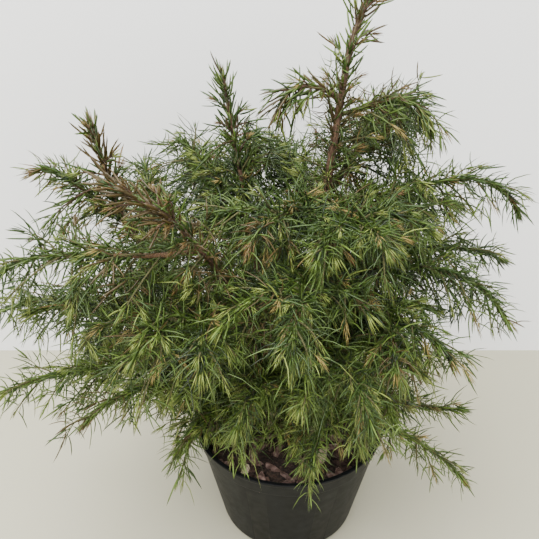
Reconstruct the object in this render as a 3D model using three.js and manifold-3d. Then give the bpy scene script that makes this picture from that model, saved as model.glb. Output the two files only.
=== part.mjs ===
// A young elegans Japanese cedar in a black nursery pot, in millimetres, +Z up.
// The origin is at the centre of the pot's flat underside.
import * as THREE from "three";
import { mergeVertices } from "three/addons/utils/BufferGeometryUtils.js";
import Module from "manifold-3d";

const wasm = await Module();
wasm.setup();

// Clear space between pieces that touch on the real plant
const GAP = 0.3;
// Clear space that a shoot or a spray keeps to the pieces of another node
const CLEARANCE = 0.6;

// Pot: a thin moulded cup with a collar under its lip and drain slots round its foot
const POT_HEIGHT = 108;
const POT_RIM_RADIUS = 85;
const POT_BASE_RADIUS = 62.5;
const POT_WALL = 1.8;
const POT_FLOOR = 3;
const POT_FOOT_ROUND = 4;
const COLLAR_HEIGHT = 17;
const COLLAR_STEP = 1.1;
const LIP_HEIGHT = 3;
const LIP_STEP = 1;
const POT_SIDES = 40;
const SLOT_COUNT = 8;
const SLOT_WIDTH = 15;
const SLOT_HEIGHT = 6;
const SLOT_REACH = 14;

// Soil: filled to just under the rim, a little lower at the wall
const SOIL_TOP = 94;
const SOIL_FLAT_RADIUS = 22;
const SOIL_EDGE_DROP = 3;
const SOIL_SIDES = 32;

// Stems: guide points from the foot to the tip, radii at both ends, and the height where
// the woody stem ends and its tip's foliage takes over
const STEMS = [
  {
    name: "trunk",
    guide: [[0, 0, 94], [4, -1, 150], [13, 0, 225], [22, 0, 290], [27, 0, 345], [33, 0, 400],
      [38, 1, 434], [48, 2, 466]],
    radii: [5.6, 1.9],
    woodTop: 404,
    tip: "foliage_leader",
    spread: 34,
  },
  {
    name: "stem_middle",
    guide: [[-1, 2, 128], [-16, 14, 190], [-33, 28, 270], [-44, 37, 345], [-54, 42, 406]],
    radii: [3.2, 1.3],
    woodTop: 332,
    tip: "foliage_middle_tip",
    spread: 32,
  },
  {
    name: "stem_left",
    guide: [[-3, -1, 116], [-42, -12, 176], [-90, -24, 250], [-122, -29, 315], [-133, -30, 356],
      [-139, -30, 388]],
    radii: [3.6, 1.5],
    woodTop: 330,
    tip: "foliage_left_tip",
    spread: 42,
  },
  {
    name: "stem_front",
    guide: [[-2, -3, 140], [-20, -36, 205], [-46, -72, 285], [-76, -98, 345], [-112, -110, 376]],
    radii: [3.0, 1.3],
    woodTop: 332,
    tip: "foliage_front_tip",
    spread: 34,
  },
];

// Long limbs, each a bare bough that its foliage carries on: the stem it leaves and the height
// there, its compass angle from +X, the reach of its tip from the pot's axis, the height of
// its tip, how far it is lifted at a third and at four fifths of its way, and, where they
// aren't the usual ones, the length of its longest shoots and the height they must end above.
const BOUGHS = {
  right_2: { on: "trunk", at: 296, angle: -6, reach: 168, tip: 318, lift: [20, 58], spread: 30 },
  right_3: { on: "trunk", at: 310, angle: 16, reach: 146, tip: 298, lift: [8, 14], spread: 24 },
  right_4: { on: "trunk", at: 246, angle: -12, reach: 171, tip: 233, lift: [34, 56], spread: 36 },
  right_5: { on: "trunk", at: 262, angle: 4, reach: 174, tip: 262, lift: [14, 22], spread: 38 },
  right_6: { on: "trunk", at: 196, angle: 8, reach: 118, tip: 158, lift: [24, 34], spread: 20 },
  right_7: { on: "trunk", at: 130, angle: -12, reach: 150, tip: 140, lift: [4, -2], spread: 28 },
  right_8: { on: "trunk", at: 112, angle: -24, reach: 162, tip: 90, lift: [34, 34], spread: 17,
    lowest: 0 },
  left_2: { on: "stem_front", at: 322, angle: 205, reach: 214, tip: 306, lift: [-6, 22], spread: 40 },
  left_3: { on: "stem_left", at: 244, angle: 184, reach: 240, tip: 228, lift: [6, 18], spread: 38 },
  left_4: { on: "stem_left", at: 214, angle: 206, reach: 202, tip: 274, lift: [10, 18], spread: 24 },
  left_5: { on: "stem_left", at: 150, angle: 194, reach: 240, tip: 176, lift: [28, 34], spread: 40 },
  left_6: { on: "stem_left", at: 136, angle: 209, reach: 178, tip: 176, lift: [26, 40], spread: 20 },
};

// Shorter limbs, which are foliage all the way from their stem
const SPRIGS = {
  right_1: { on: "trunk", at: 386, angle: 0, reach: 98, tip: 378, lift: [8, 32], spread: 38 },
  left_1: { on: "stem_left", at: 315, angle: 192, reach: 180, tip: 358, lift: [2, 14], spread: 28 },
  left_7: { on: "trunk", at: 118, angle: 222, reach: 120, tip: 140, lift: [30, 38], spread: 32,
    lowest: 0 },
  leader_left: { on: "trunk", at: 397, angle: 186, reach: 12, tip: 389, lift: [14, 24], spread: 15 },
  front_1: { on: "trunk", at: 300, angle: 300, reach: 112, tip: 326, lift: [10, 20] },
  front_2: { on: "trunk", at: 268, angle: 268, reach: 150, tip: 282, lift: [10, 34], spread: 46 },
  front_3: { on: "stem_front", at: 262, angle: 232, reach: 168, tip: 268, lift: [4, 24] },
  front_4: { on: "trunk", at: 222, angle: 318, reach: 146, tip: 240, lift: [10, 36], spread: 44 },
  front_5: { on: "trunk", at: 208, angle: 288, reach: 152, tip: 222, lift: [10, 36], spread: 48,
    lowest: 160 },
  front_6: { on: "trunk", at: 168, angle: 252, reach: 132, tip: 202, lift: [10, 36], spread: 44,
    lowest: 156 },
  front_7: { on: "trunk", at: 152, angle: 300, reach: 104, tip: 154, lift: [14, 34], spread: 36,
    lowest: 140 },
  front_8: { on: "trunk", at: 158, angle: 335, reach: 104, tip: 172, lift: [14, 30], spread: 34,
    lowest: 140 },
  front_9: { on: "trunk", at: 130, angle: 275, reach: 130, tip: 150, lift: [14, 34], spread: 11,
    lowest: 0 },
  front_10: { on: "trunk", at: 316, angle: 252, reach: 96, tip: 330, lift: [6, 14], spread: 28 },
  back_1: { on: "stem_middle", at: 320, angle: 104, reach: 112, tip: 332, lift: [0, 14], spread: 66 },
  back_2: { on: "stem_middle", at: 290, angle: 144, reach: 120, tip: 344, lift: [0, 20], spread: 66 },
  back_3: { on: "trunk", at: 318, angle: 42, reach: 136, tip: 360, lift: [20, 36], spread: 66 },
  back_4: { on: "trunk", at: 280, angle: 92, reach: 148, tip: 310, lift: [4, 30], spread: 60 },
  back_5: { on: "stem_middle", at: 215, angle: 122, reach: 185, tip: 300, lift: [6, 30] },
  back_6: { on: "stem_left", at: 262, angle: 150, reach: 146, tip: 322, lift: [6, 24], spread: 50 },
  back_7: { on: "trunk", at: 232, angle: 42, reach: 185, tip: 252, lift: [10, 36], spread: 50 },
  back_8: { on: "trunk", at: 172, angle: 96, reach: 190, tip: 196, lift: [14, 36] },
  back_9: { on: "stem_middle", at: 162, angle: 146, reach: 205, tip: 186, lift: [14, 34] },
  back_10: { on: "trunk", at: 134, angle: 64, reach: 172, tip: 142, lift: [20, 34] },
  back_11: { on: "trunk", at: 110, angle: 122, reach: 175, tip: 134, lift: [22, 34] },
  back_12: { on: "stem_left", at: 162, angle: 172, reach: 190, tip: 148, lift: [24, 36], spread: 36 },
};
const LIMB_RADII = [1.9, 0.8];
const BOUGH_SHARE = 0.42;
const BENDS_AT = [0.35, 0.8];

// How finely the limbs are faceted
const TRUNK_SIDES = 10;
const STEM_SIDES = 7;
const BOUGH_SIDES = 6;
const TWIG_SIDES = 3;
const STEM_STEP = 26;
const BOUGH_STEPS = 4;
const MASS_STEPS = 5;
const SHOOT_STEPS = 2;

// Root flare: how much the trunk widens at the soil, the stations there in place of its first
// plain ones, how fast the flare fades, and its lobes
const FLARE = 3.6;
const FLARE_STATIONS = [0.3, 4, 9, 16, 26, 40];
const FLARED_STEPS = 2;
const FLARE_HEIGHT = 8;
const FLARE_LOBES = 4;
const FLARE_LOBE_SHARE = 0.35;

// Shoots leave a limb in a golden-angle spiral, and these solids keep one in three. The
// lengths, angles and radii go from the limb's first shoot to its last, or from foot to tip.
const SHOOT_EVERY = 9;
const SHOOT_KEPT = 3;
const GOLDEN_ANGLE = 2.39996;
const BARE_SHARE = 0.2;
const BARE_START = 0.04;
const BARE_END = 5;
const SPREAD = 52;
const LAST_SHOOT = 20;
const SHOOT_ANGLES = [0.95, 0.6];
const SHOOT_UNEVEN = [0.65, 1.2];
const ANGLE_UNEVEN = [0.7, 1.4];
// A shoot's tip goes this share of its length outward and this share along the limb; its
// middle is pulled up and its tip hangs by the next two shares
const SHOOT_OUT = 0.9;
const SHOOT_ALONG = 0.15;
const SHOOT_LIFT = 0.08;
const SHOOT_SAG = 0.2;
// Hanging shoots are longer than rising ones by this share, and a shoot that would end below
// this height is left out
const SHOOT_HANG = 0.35;
const LOWEST_SHOOT = 124;
const SHOOT_RADII = [0.95, 0.6];

// Sprays of needles stand off the shoots, larger than life
const SPRAY_EVERY = 17;
const SPRAY_LENGTH = 34;
const SPRAY_HALF_WIDTH = 4.4;
const SPRAY_FLATNESS = 0.4;
const SPRAY_WIDEST_AT = 0.34;
const SPRAY_ANGLE = 0.85;
const SPRAY_UNEVEN = [0.8, 1.05];
const SPRAY_DRAW = 10;
const SPRAYS_FROM = 0.35;
const SPRAYS_TO = 0.97;
const END_SPRAY_ANGLE = 0.12;
const END_SPRAY_SIZE = 0.75;
const TIP_SPRAYS = 3;
const TIP_SPRAY_SIZE = 0.8;
const TIP_SPRAY_ANGLE = 0.35;
const TIP_SPRAY_SETBACK = 18;

// How much nearer another limb may be before a shoot counts as outside its own space
const SPACE_SLACK = 7;

// The most that the radii and the clear space of any two pieces add up to
const WIDEST_PAIR = 11;

// How closely a stretch is tested against the pot
const POT_SAMPLE = 3;

// Edges shorter than this are dropped when a mass has been joined, and corners nearer than
// this are one
const SMALLEST_EDGE = 0.02;
const SAME_CORNER = 1e-4;

// How tightly a stem follows its guide points, and how finely a height is sought on it
const STEM_TENSION = 0.5;
const SHARE_SLACK = 1e-4;

// How far a direction leans before its sides are taken from the vertical, and the length of
// the stretch that stands for a point
const LEAST_LEAN = 0.05;
const POINT_LENGTH = 1e-3;

const materials = {
  pot: new THREE.MeshStandardMaterial({ color: 0x2c2d2b, roughness: 0.55, metalness: 0 }),
  soil: new THREE.MeshStandardMaterial({ color: 0x35241c, roughness: 0.95, metalness: 0 }),
  bark: new THREE.MeshStandardMaterial({ color: 0x6b4430, roughness: 0.85, metalness: 0 }),
  foliage: new THREE.MeshStandardMaterial({ color: 0x587238, roughness: 0.6, metalness: 0 }),
};

const part = new THREE.Group();

// A closed geometry as a solid for cutting and joining
function solidOf(geometry) {
  const bare = geometry.clone();
  bare.deleteAttribute("normal");
  bare.deleteAttribute("uv");
  const merged = mergeVertices(bare, SAME_CORNER);
  return new wasm.Manifold(new wasm.Mesh({
    numProp: 3,
    vertProperties: merged.attributes.position.array,
    triVerts: new Uint32Array(merged.index.array),
  }));
}

function addPiece(name, solid, material) {
  const mesh = solid.getMesh();
  const geometry = new THREE.BufferGeometry();
  geometry.setAttribute("position", new THREE.BufferAttribute(mesh.vertProperties, 3));
  geometry.setIndex(new THREE.BufferAttribute(mesh.triVerts, 1));
  geometry.computeVertexNormals();
  const piece = new THREE.Mesh(geometry, material);
  piece.name = name;
  part.add(piece);
}

// A repeatable number from 0 to 1 for each limb, element and draw
function chance(limb, element, draw) {
  let h = (Math.imul(limb, 374761393) + Math.imul(element, 668265263)
    + Math.imul(draw, 2246822519)) >>> 0;
  h = Math.imul(h ^ (h >>> 13), 1274126177) >>> 0;
  return ((h ^ (h >>> 16)) >>> 0) / 2 ** 32;
}

const mix = THREE.MathUtils.lerp;

// Two directions square to the given one, for placing things round it
function across(direction) {
  const side = new THREE.Vector3(0, 0, 1).cross(direction);
  if (side.length() < LEAST_LEAN) {
    side.set(0, 1, 0);
  }
  side.normalize();
  return [side, new THREE.Vector3().crossVectors(direction, side)];
}

// A direction that leans off the given one by an angle, turned round it by another
function leaning(direction, angle, turn) {
  const [side, up] = across(direction);
  return direction.clone().multiplyScalar(Math.cos(angle))
    .addScaledVector(side, Math.sin(angle) * Math.cos(turn))
    .addScaledVector(up, Math.sin(angle) * Math.sin(turn));
}

// Evenly spaced stations along a curve, each with its radius
function stations(curve, from, to, radii, steps) {
  return Array.from({ length: steps + 1 }, (_, i) => {
    const share = mix(from, to, i / steps);
    return { point: curve.getPointAt(share), radius: mix(radii[0], radii[1], share) };
  });
}

// A round tapering limb: a closed cylinder bent along its stations. The trunk's flare
// widens it at the soil, where its foot is cut level.
function limbSolid(path, sides, grow = 0, flare = null) {
  const steps = path.length - 1;
  const geometry = new THREE.CylinderGeometry(1, 1, 1, sides, steps);
  const normals = [];
  const tangents = path.map((_, i) => {
    const before = path[Math.max(i - 1, 0)].point;
    const after = path[Math.min(i + 1, steps)].point;
    return after.clone().sub(before).normalize();
  });
  tangents.forEach((tangent, i) => {
    if (i === 0) {
      normals.push(across(tangent)[0]);
      return;
    }
    const turn = new THREE.Quaternion().setFromUnitVectors(tangents[i - 1], tangent);
    normals.push(normals[i - 1].clone().applyQuaternion(turn));
  });
  const position = geometry.attributes.position;
  for (let v = 0; v < position.count; v++) {
    const i = Math.round((position.getY(v) + 0.5) * steps);
    const binormal = new THREE.Vector3().crossVectors(normals[i], tangents[i]);
    const x = position.getX(v);
    const z = position.getZ(v);
    const wider = flare ? flare(path[i].point.z, Math.atan2(z, x)) : 0;
    const radius = path[i].radius + grow + wider;
    const point = path[i].point.clone()
      .addScaledVector(normals[i], x * radius)
      .addScaledVector(binormal, z * radius);
    if (flare && i === 0) {
      point.z = path[0].point.z;
    }
    position.setXYZ(v, point.x, point.y, point.z);
  }
  return solidOf(geometry);
}

// A spray of needles: a slim flat spindle with both ends sharp
function spraySolid(spray) {
  const profile = [[0, 0], [1, SPRAY_WIDEST_AT], [0, 1]].map(([r, y]) => new THREE.Vector2(r, y));
  const geometry = new THREE.LatheGeometry(profile, TWIG_SIDES);
  geometry.scale(SPRAY_HALF_WIDTH, spray.length, SPRAY_HALF_WIDTH * SPRAY_FLATNESS);
  const turn = new THREE.Quaternion()
    .setFromUnitVectors(new THREE.Vector3(0, 1, 0), spray.direction);
  geometry.applyQuaternion(turn);
  geometry.translate(spray.foot.x, spray.foot.y, spray.foot.z);
  return solidOf(geometry);
}

// Shortest distance between two straight stretches
function stretchDistance(a, b, c, d) {
  const u = b.clone().sub(a);
  const v = d.clone().sub(c);
  const w = a.clone().sub(c);
  const uu = u.dot(u);
  const vv = v.dot(v);
  const uv = u.dot(v);
  const uw = u.dot(w);
  const vw = v.dot(w);
  const square = uu * vv - uv * uv;
  let s = square > 1e-9 ? THREE.MathUtils.clamp((uv * vw - vv * uw) / square, 0, 1) : 0;
  let t = (uv * s + vw) / vv;
  if (t < 0 || t > 1) {
    t = THREE.MathUtils.clamp(t, 0, 1);
    s = THREE.MathUtils.clamp((uv * t - uw) / uu, 0, 1);
  }
  return a.clone().addScaledVector(u, s).distanceTo(c.clone().addScaledVector(v, t));
}

// The point at a share of a path's straight stretches, and the way they run there
function along(path, share) {
  const spot = THREE.MathUtils.clamp(share, 0, 1) * (path.length - 1);
  const i = Math.min(Math.floor(spot), path.length - 2);
  const a = path[i].point;
  const b = path[i + 1].point;
  return { point: a.clone().lerp(b, spot - i), tangent: b.clone().sub(a).normalize() };
}

// Everything that a new shoot must stay clear of, as straight round stretches
const taken = [];

function take(owner, path) {
  for (let i = 1; i < path.length; i++) {
    const radius = Math.max(path[i - 1].radius, path[i].radius);
    taken.push({ owner, a: path[i - 1].point, b: path[i].point, radius });
  }
}

function isFree(owner, a, b, radius) {
  return taken.every((other) => other.owner === owner
    || a.distanceTo(other.a) > a.distanceTo(b) + other.a.distanceTo(other.b) + WIDEST_PAIR
    || stretchDistance(a, b, other.a, other.b) > radius + other.radius + CLEARANCE);
}

function wallRadius(height) {
  return mix(POT_BASE_RADIUS, POT_RIM_RADIUS, height / POT_HEIGHT);
}

// Whether a stretch stays out of the pot's wall and above the soil
function clearsPot(a, b, radius) {
  const samples = Math.ceil(a.distanceTo(b) / POT_SAMPLE) + 1;
  for (let i = 0; i <= samples; i++) {
    const point = a.clone().lerp(b, i / samples);
    const reach = Math.hypot(point.x, point.y);
    const wall = wallRadius(point.z);
    if (point.z > POT_HEIGHT + radius + CLEARANCE) {
      continue;
    }
    const inside = reach < wall - POT_WALL - COLLAR_STEP - radius - CLEARANCE;
    const outside = reach > wall + COLLAR_STEP + LIP_STEP + radius + CLEARANCE;
    if (!inside && !outside) {
      return false;
    }
    if (inside && point.z < SOIL_TOP + radius + CLEARANCE) {
      return false;
    }
    if (point.z < radius + CLEARANCE) {
      return false;
    }
  }
  return true;
}

function potSolid() {
  const collarFoot = POT_HEIGHT - COLLAR_HEIGHT;
  const lipFoot = POT_HEIGHT - LIP_HEIGHT;
  const inner = (height) => wallRadius(height) - POT_WALL;
  const profile = [
    [0, 0],
    [POT_BASE_RADIUS - POT_FOOT_ROUND, 0],
    [wallRadius(POT_FOOT_ROUND), POT_FOOT_ROUND],
    [wallRadius(collarFoot), collarFoot],
    [wallRadius(collarFoot) + COLLAR_STEP, collarFoot],
    [wallRadius(lipFoot) + COLLAR_STEP, lipFoot],
    [wallRadius(lipFoot) + COLLAR_STEP + LIP_STEP, lipFoot],
    [wallRadius(POT_HEIGHT) + COLLAR_STEP + LIP_STEP, POT_HEIGHT],
    [inner(POT_HEIGHT), POT_HEIGHT],
    [inner(POT_FLOOR), POT_FLOOR],
    [0, POT_FLOOR],
  ].map(([r, y]) => new THREE.Vector2(r, y));
  const cup = solidOf(new THREE.LatheGeometry(profile, POT_SIDES).rotateX(Math.PI / 2));
  const slots = Array.from({ length: SLOT_COUNT }, (_, i) => {
    const slot = new THREE.BoxGeometry(SLOT_REACH, SLOT_WIDTH, 2 * SLOT_HEIGHT);
    slot.translate(POT_BASE_RADIUS, 0, 0);
    slot.rotateZ((2 * Math.PI * (i + 0.5)) / SLOT_COUNT);
    return solidOf(slot);
  });
  return cup.subtract(wasm.Manifold.union(slots));
}

function soilSolid() {
  const foot = POT_FLOOR + GAP;
  const edge = SOIL_TOP - SOIL_EDGE_DROP;
  const inner = (height) => wallRadius(height) - POT_WALL - GAP;
  const profile = [
    [0, foot],
    [inner(foot), foot],
    [inner(edge), edge],
    [SOIL_FLAT_RADIUS, SOIL_TOP],
    [0, SOIL_TOP],
  ].map(([r, y]) => new THREE.Vector2(r, y));
  return solidOf(new THREE.LatheGeometry(profile, SOIL_SIDES).rotateX(Math.PI / 2));
}

// The share of a curve's length at which it reaches a height
function shareAtHeight(curve, height) {
  let low = 0;
  let high = 1;
  while (high - low > SHARE_SLACK) {
    const middle = (low + high) / 2;
    if (curve.getPointAt(middle).z < height) {
      low = middle;
    } else {
      high = middle;
    }
  }
  return low;
}

function trunkFlare(height, turn) {
  const fade = Math.exp(-(height - SOIL_TOP) / FLARE_HEIGHT);
  return FLARE * fade * (1 + FLARE_LOBE_SHARE * Math.cos(FLARE_LOBES * turn));
}

// Woody stems, and the foliage stems that carry on from their tips
const stems = new Map();
const masses = [];
for (const stem of STEMS) {
  const curve = new THREE.CatmullRomCurve3(
    stem.guide.map((p) => new THREE.Vector3(...p)), false, "catmullrom", STEM_TENSION);
  const woodShare = shareAtHeight(curve, stem.woodTop);
  const footShare = stem.name === "trunk" ? GAP / curve.getLength() : 0;
  const steps = Math.round(curve.getLength() / STEM_STEP);
  const sides = stem.name === "trunk" ? TRUNK_SIDES : STEM_SIDES;
  const path = stations(curve, footShare, woodShare, stem.radii, steps);
  stems.set(stem.name, { ...stem, curve, path, sides });
  take(stem.name, path);
  const from = woodShare + GAP / curve.getLength();
  masses.push({
    name: stem.tip,
    curve,
    from,
    radii: stem.radii,
    spread: stem.spread,
    lowest: LOWEST_SHOOT,
    parent: null,
  });
}

// The trunk's stations, closer together where its foot flares
function trunkPath() {
  const { curve, path, radii } = stems.get("trunk");
  const length = curve.getLength();
  const low = FLARE_STATIONS.map((distance) => ({
    point: curve.getPointAt(distance / length),
    radius: mix(...radii, distance / length),
  }));
  return [...low, ...path.slice(FLARED_STEPS)];
}

for (const stem of stems.values()) {
  const isTrunk = stem.name === "trunk";
  const flare = isTrunk ? trunkFlare : null;
  const path = isTrunk ? trunkPath() : stem.path;
  let solid = limbSolid(path, stem.sides, 0, flare);
  stem.inflated = limbSolid(path, stem.sides, GAP, flare);
  if (!isTrunk) {
    solid = solid.subtract(stems.get("trunk").inflated);
  }
  addPiece(stem.name, solid, materials.bark);
}

// Boughs, and the foliage stems that carry on from them or straight from a stem
for (const [name, limb] of Object.entries({ ...BOUGHS, ...SPRIGS })) {
  const hasBough = name in BOUGHS;
  const stem = stems.get(limb.on);
  const root = stem.curve.getPointAt(shareAtHeight(stem.curve, limb.at));
  const turn = THREE.MathUtils.degToRad(limb.angle);
  const tip = new THREE.Vector3(
    limb.reach * Math.cos(turn), limb.reach * Math.sin(turn), limb.tip);
  const guides = BENDS_AT.map((share, i) => {
    const guide = root.clone().lerp(tip, share);
    guide.z += limb.lift[i];
    return guide;
  });
  const curve = new THREE.CubicBezierCurve3(root, guides[0], guides[1], tip);
  let from = 0;
  if (hasBough) {
    from = BOUGH_SHARE + GAP / curve.getLength();
    const path = stations(curve, 0, BOUGH_SHARE, LIMB_RADII, BOUGH_STEPS);
    take("bough_" + name, path.slice(1));
    const solid = limbSolid(path, BOUGH_SIDES).subtract(stem.inflated);
    addPiece("bough_" + name, solid, materials.bark);
  }
  masses.push({
    name: "foliage_" + name,
    curve,
    from,
    radii: LIMB_RADII,
    spread: limb.spread ?? SPREAD,
    lowest: limb.lowest ?? LOWEST_SHOOT,
    parent: hasBough ? null : stem,
  });
}

masses.forEach((mass, index) => {
  mass.index = index;
  mass.length = mass.curve.getLength();
  mass.path = stations(mass.curve, mass.from, 1, mass.radii, MASS_STEPS);
  mass.pathLength = mass.length * (1 - mass.from);
  mass.pieces = [limbSolid(mass.path, TWIG_SIDES)];
  mass.shoots = [];
  take(mass.name, mass.parent ? mass.path.slice(1) : mass.path);
});

// Whether a point is in a mass's own space: no other foliage stem is much nearer
function inOwnSpace(mass, point) {
  const distance = (other) => {
    const gaps = other.path.slice(1).map((station, i) => stretchDistance(
      point, point.clone().addScalar(POINT_LENGTH), other.path[i].point, station.point));
    return Math.min(...gaps);
  };
  const own = distance(mass);
  return masses.every((other) => other === mass || distance(other) > own - SPACE_SLACK);
}

function tryShoot(mass, n) {
  const first = mass.parent ? BARE_SHARE : mass.from + BARE_START;
  const share = first + (n * SHOOT_EVERY) / mass.length;
  if (share > 1 - BARE_END / mass.length) {
    return;
  }
  const { point: foot, tangent } = along(mass.path, (share - mass.from) / (1 - mass.from));
  const outward = (share - first) / (1 - first);
  const evenLength = mix(mass.spread, LAST_SHOOT, outward);
  const angle = mix(...SHOOT_ANGLES, outward) * mix(...ANGLE_UNEVEN, chance(mass.index, n, 2));
  const turn = n * GOLDEN_ANGLE + mass.index + chance(mass.index, n, 3);
  const direction = leaning(tangent, angle, turn);
  const length = evenLength * mix(...SHOOT_UNEVEN, chance(mass.index, n, 1))
    * (1 - SHOOT_HANG * direction.z);
  const tip = foot.clone().addScaledVector(direction, length * SHOOT_OUT)
    .addScaledVector(tangent, length * SHOOT_ALONG);
  tip.z -= length * SHOOT_SAG;
  if (tip.z < mass.lowest) {
    return;
  }
  const bend = foot.clone().addScaledVector(direction, length / 2);
  bend.z += length * SHOOT_LIFT;
  const curve = new THREE.QuadraticBezierCurve3(foot, bend, tip);
  const path = stations(curve, 0, 1, SHOOT_RADII, SHOOT_STEPS);
  for (let i = 1; i < path.length; i++) {
    const a = path[i - 1].point;
    const b = path[i].point;
    if (!isFree(mass.name, a, b, SHOOT_RADII[0]) || !clearsPot(a, b, SHOOT_RADII[0])) {
      return;
    }
  }
  if (!inOwnSpace(mass, tip)) {
    return;
  }
  take(mass.name, path);
  mass.pieces.push(limbSolid(path, TWIG_SIDES));
  mass.shoots.push({ path, length, n });
}

function trySpray(mass, foot, direction, length) {
  const tip = foot.clone().addScaledVector(direction, length);
  const free = isFree(mass.name, foot, tip, SPRAY_HALF_WIDTH);
  if (!free || !clearsPot(foot, tip, SPRAY_HALF_WIDTH) || !inOwnSpace(mass, tip)) {
    return;
  }
  taken.push({ owner: mass.name, a: foot, b: tip, radius: SPRAY_HALF_WIDTH });
  mass.pieces.push(spraySolid({ foot, direction, length }));
}

const mostShoots = Math.ceil(Math.max(...masses.map((mass) => mass.length)) / SHOOT_EVERY);
for (let n = 1; n < mostShoots; n += SHOOT_KEPT) {
  masses.forEach((mass) => tryShoot(mass, n));
}

// Sprays at each limb's tip first, then along the shoots
for (const mass of masses) {
  const { point: end, tangent } = along(mass.path, 1 - TIP_SPRAY_SETBACK / mass.pathLength);
  for (let i = 0; i < TIP_SPRAYS; i++) {
    const turn = (i * 2 * Math.PI) / TIP_SPRAYS + mass.index;
    trySpray(mass, end, leaning(tangent, TIP_SPRAY_ANGLE, turn), SPRAY_LENGTH * TIP_SPRAY_SIZE);
  }
}
for (const mass of masses) {
  for (const shoot of mass.shoots) {
    const count = Math.max(1, Math.round(shoot.length / SPRAY_EVERY) - 1);
    for (let i = 0; i < count; i++) {
      const share = mix(SPRAYS_FROM, SPRAYS_TO, count > 1 ? i / (count - 1) : 1);
      const { point: foot, tangent } = along(shoot.path, share);
      const atTip = i === count - 1;
      const turn = i * GOLDEN_ANGLE + shoot.n;
      const angle = atTip ? END_SPRAY_ANGLE : SPRAY_ANGLE;
      const uneven = mix(...SPRAY_UNEVEN, chance(mass.index, shoot.n, SPRAY_DRAW + i));
      const size = atTip ? END_SPRAY_SIZE : uneven;
      trySpray(mass, foot, leaning(tangent, angle, turn), SPRAY_LENGTH * size);
    }
  }
}

for (const mass of masses) {
  let solid = wasm.Manifold.union(mass.pieces);
  if (mass.parent) {
    solid = solid.subtract(mass.parent.inflated);
  }
  addPiece(mass.name, solid.simplify(SMALLEST_EDGE), materials.foliage);
}

addPiece("pot", potSolid(), materials.pot);
addPiece("soil", soilSolid(), materials.soil);

export default part;
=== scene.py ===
import math
from collections import namedtuple

import bmesh
import bpy
import numpy as np
from mathutils import Matrix, Vector


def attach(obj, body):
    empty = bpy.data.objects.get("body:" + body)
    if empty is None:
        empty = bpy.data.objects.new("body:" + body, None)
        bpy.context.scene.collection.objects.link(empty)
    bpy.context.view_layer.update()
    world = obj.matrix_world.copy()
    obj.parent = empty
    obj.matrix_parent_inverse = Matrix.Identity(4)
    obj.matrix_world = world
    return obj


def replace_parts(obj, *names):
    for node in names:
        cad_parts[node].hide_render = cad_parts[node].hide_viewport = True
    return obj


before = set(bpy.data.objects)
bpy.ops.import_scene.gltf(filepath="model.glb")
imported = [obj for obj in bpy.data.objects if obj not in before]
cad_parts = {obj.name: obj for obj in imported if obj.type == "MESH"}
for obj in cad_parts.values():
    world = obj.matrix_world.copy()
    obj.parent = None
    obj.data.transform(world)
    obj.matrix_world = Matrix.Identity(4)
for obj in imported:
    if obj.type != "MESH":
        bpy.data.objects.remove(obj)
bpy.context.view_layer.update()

MM = 0.001
BODY = "root"

# Pot and soil, in millimetres, as the solids have them
POT_HEIGHT = 108
POT_RIM_RADIUS = 85
POT_BASE_RADIUS = 62.5
POT_WALL = 1.8
POT_FLOOR = 3
COLLAR_HEIGHT = 17
COLLAR_STEP = 1.1
LIP_HEIGHT = 3
LIP_STEP = 1
SLOT_COUNT = 8
SLOT_WIDTH = 15
SLOT_HEIGHT = 6
SLOT_REACH = 14
SOIL_TOP = 94
SOIL_EDGE_DROP = 3

# Stems: guide points in millimetres, radii at both ends, and where their wood ends
STEMS = {
    "trunk": dict(
        guide=[(0, 0, 94), (4, -1, 150), (13, 0, 225), (22, 0, 290), (27, 0, 345), (33, 0, 400),
               (38, 1, 434), (48, 2, 466)],
        radii=(5.6, 1.9), wood_top=404, tip="foliage_leader", spread=34),
    "stem_middle": dict(
        guide=[(-1, 2, 128), (-16, 14, 190), (-33, 28, 270), (-44, 37, 345), (-54, 42, 406)],
        radii=(3.2, 1.3), wood_top=332, tip="foliage_middle_tip", spread=32),
    "stem_left": dict(
        guide=[(-3, -1, 116), (-42, -12, 176), (-90, -24, 250), (-122, -29, 315),
               (-133, -30, 356), (-139, -30, 388)],
        radii=(3.6, 1.5), wood_top=330, tip="foliage_left_tip", spread=42),
    "stem_front": dict(
        guide=[(-2, -3, 140), (-20, -36, 205), (-46, -72, 285), (-76, -98, 345),
               (-112, -110, 376)],
        radii=(3.0, 1.3), wood_top=332, tip="foliage_front_tip", spread=34),
}

# A limb by the source's sizes: the stem it leaves, the height there, its direction in degrees,
# the reach and the height of its tip, how far it is lifted at two points on the way, the length
# of its first shoots, and the height that all its shoots stay above
SPREAD = 52
LOWEST_SHOOT = 124
Limb = namedtuple("Limb", "on at angle reach tip lift spread lowest",
                  defaults=(SPREAD, LOWEST_SHOOT))

# Long limbs with a bare bough
BOUGHS = {
    "right_2": Limb("trunk", 296, -6, 168, 318, (20, 58), 30),
    "right_3": Limb("trunk", 310, 16, 146, 298, (8, 14), 24),
    "right_4": Limb("trunk", 246, -12, 171, 233, (34, 56), 36),
    "right_5": Limb("trunk", 262, 4, 174, 262, (14, 22), 38),
    "right_6": Limb("trunk", 196, 8, 118, 158, (24, 34), 20),
    "right_7": Limb("trunk", 130, -12, 150, 140, (4, -2), 28),
    "right_8": Limb("trunk", 112, -24, 162, 90, (34, 34), 17, lowest=0),
    "left_2": Limb("stem_front", 322, 205, 214, 306, (-6, 22), 40),
    "left_3": Limb("stem_left", 244, 184, 240, 228, (6, 18), 38),
    "left_4": Limb("stem_left", 214, 206, 202, 274, (10, 18), 24),
    "left_5": Limb("stem_left", 150, 194, 240, 176, (28, 34), 40),
    "left_6": Limb("stem_left", 136, 209, 178, 176, (26, 40), 20),
}

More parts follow.
